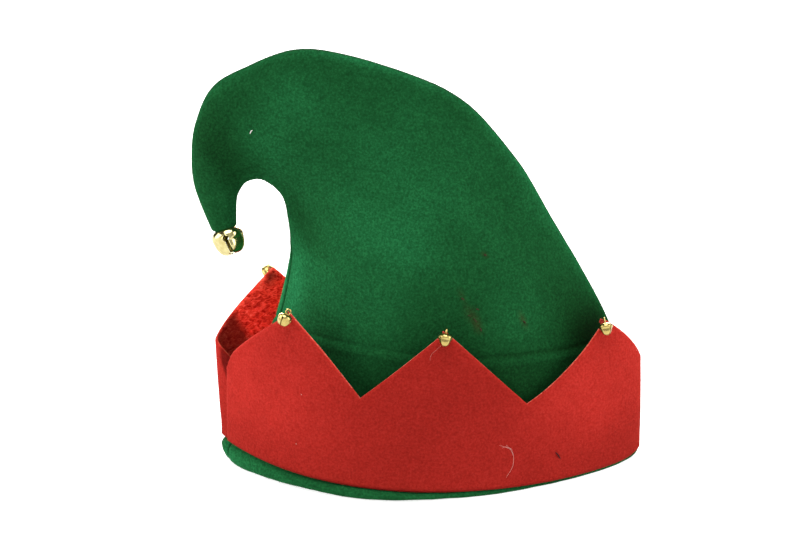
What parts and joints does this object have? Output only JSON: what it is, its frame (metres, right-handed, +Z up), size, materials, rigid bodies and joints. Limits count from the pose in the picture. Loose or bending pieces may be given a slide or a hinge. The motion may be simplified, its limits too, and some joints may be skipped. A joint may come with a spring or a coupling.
{
  "type": "elf hat",
  "caption": "Green felt elf hat with a curled, hanging tip, a red felt band cut in peaks round its rim, small jingle bells on the peaks and a larger bell at the tip.",
  "frame": {"origin": "under the middle of the hat's box, on the surface that the rim stands on", "axes": "+Z up, X along the hat's width with the hanging tip on the side of -X, and -Y towards the side seen in the picture"},
  "size_m": [0.2546, 0.1306, 0.2443],
  "materials": {
    "green_felt": "brushed polyester felt, matt with a short nap",
    "red_felt": "brushed polyester felt, matt with a short nap",
    "gold_bell": "thin pale gold plating, polished"
  },
  "bodies": {
    "root": {"crown_front": "green_felt", "crown_back": "green_felt", "band_front": "red_felt", "band_back": "red_felt", "cuff_bell_1": "gold_bell", "cuff_bell_2": "gold_bell", "cuff_bell_3": "gold_bell", "cuff_bell_4": "gold_bell", "cuff_bell_5": "gold_bell", "cuff_bell_6": "gold_bell", "tip_bell": "gold_bell"}
  },
  "joints": []
}
